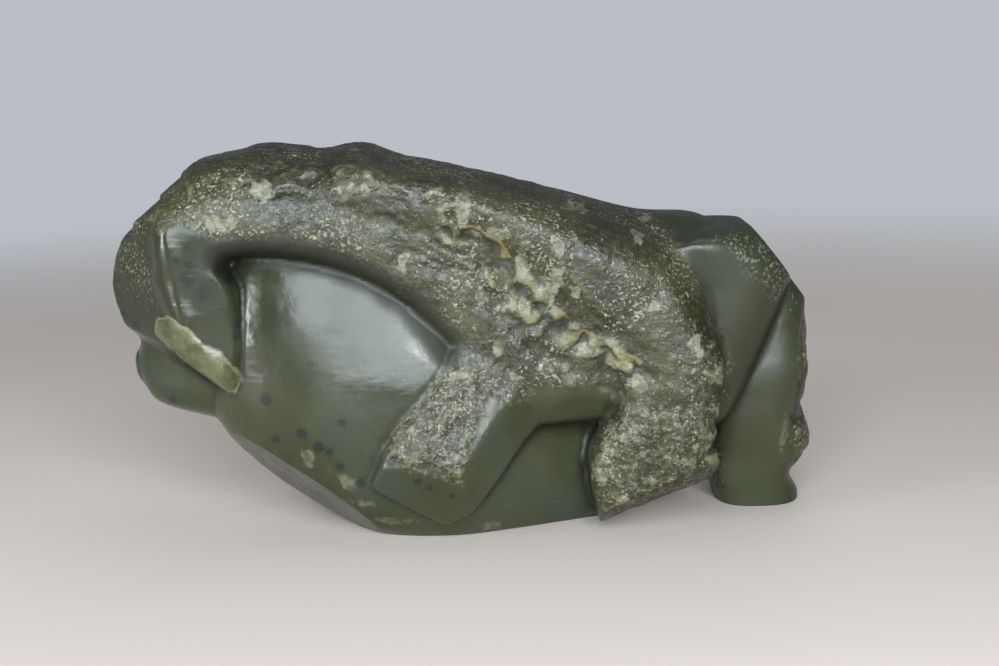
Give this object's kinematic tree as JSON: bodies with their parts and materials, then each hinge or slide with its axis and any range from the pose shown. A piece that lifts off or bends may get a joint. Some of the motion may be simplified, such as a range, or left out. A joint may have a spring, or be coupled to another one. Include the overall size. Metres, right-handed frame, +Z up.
{
  "type": "carved stone bear",
  "caption": "Stone figure of a bear bowing its head over a smooth boulder, carved from one block, with a flat underside that it stands on.",
  "frame": {"origin": "middle of the underside of the bounding box, on the plane that the carving stands on", "axes": "+X from the muzzle to the rump, -Y towards the side with the finer carving, +Z up"},
  "size_m": [0.301, 0.108, 0.165],
  "materials": {
    "soapstone": "waxed and polished stone with patches of rough skin"
  },
  "bodies": {
    "root": {"bear_carving": "soapstone"}
  },
  "joints": []
}
